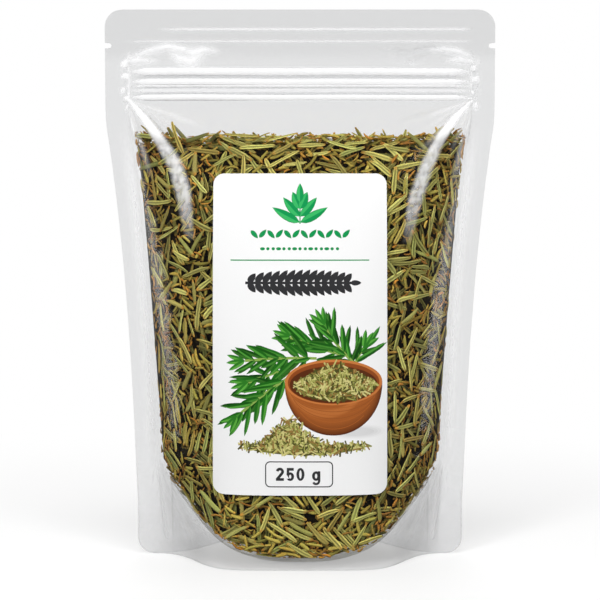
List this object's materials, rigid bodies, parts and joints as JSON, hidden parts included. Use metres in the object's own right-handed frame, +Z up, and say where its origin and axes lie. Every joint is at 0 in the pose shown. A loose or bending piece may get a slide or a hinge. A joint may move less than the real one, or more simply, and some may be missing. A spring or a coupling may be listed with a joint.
{
  "type": "stand-up pouch of dried rosemary",
  "caption": "Clear resealable stand-up pouch with heat-sealed sides, a gusseted base, a press-to-close strip and a paper label, filled with loose dried rosemary leaves.",
  "frame": {"origin": "centre of the pouch's box on the surface it stands on, midway between the outermost points of the front and the back", "axes": "+X to the right of a viewer facing the label, -Y towards that viewer, +Z up"},
  "size_m": [0.18, 0.0746, 0.2535],
  "materials": {
    "clear_film": "clear glossy laminated film",
    "zip_plastic": "milky polyethylene strip",
    "label_paper": "smooth coated paper with a printed design",
    "dried_rosemary": "dry loose leaves, seen as one packed body",
    "rosemary_leaf": "dry matt leaf with rolled edges"
  },
  "bodies": {
    "root": {"front_film": "clear_film", "back_film": "clear_film", "bottom_gusset": "clear_film", "zip_groove_strip": "zip_plastic", "zip_rib_strip": "zip_plastic", "front_label": "label_paper", "rosemary_fill": "dried_rosemary", "rosemary_leaf_01": "rosemary_leaf", "rosemary_leaf_02": "rosemary_leaf", "rosemary_leaf_03": "rosemary_leaf", "rosemary_leaf_04": "rosemary_leaf", "rosemary_leaf_05": "rosemary_leaf", "rosemary_leaf_06": "rosemary_leaf", "rosemary_leaf_07": "rosemary_leaf", "rosemary_leaf_08": "rosemary_leaf", "rosemary_leaf_09": "rosemary_leaf", "rosemary_leaf_10": "rosemary_leaf", "rosemary_leaf_11": "rosemary_leaf", "rosemary_leaf_12": "rosemary_leaf", "rosemary_leaf_13": "rosemary_leaf", "rosemary_leaf_14": "rosemary_leaf", "rosemary_leaf_15": "rosemary_leaf", "rosemary_leaf_16": "rosemary_leaf", "rosemary_leaf_17": "rosemary_leaf", "rosemary_leaf_18": "rosemary_leaf", "rosemary_leaf_19": "rosemary_leaf", "rosemary_leaf_20": "rosemary_leaf", "rosemary_leaf_21": "rosemary_leaf", "rosemary_leaf_22": "rosemary_leaf", "rosemary_leaf_23": "rosemary_leaf", "rosemary_leaf_24": "rosemary_leaf"}
  },
  "joints": []
}
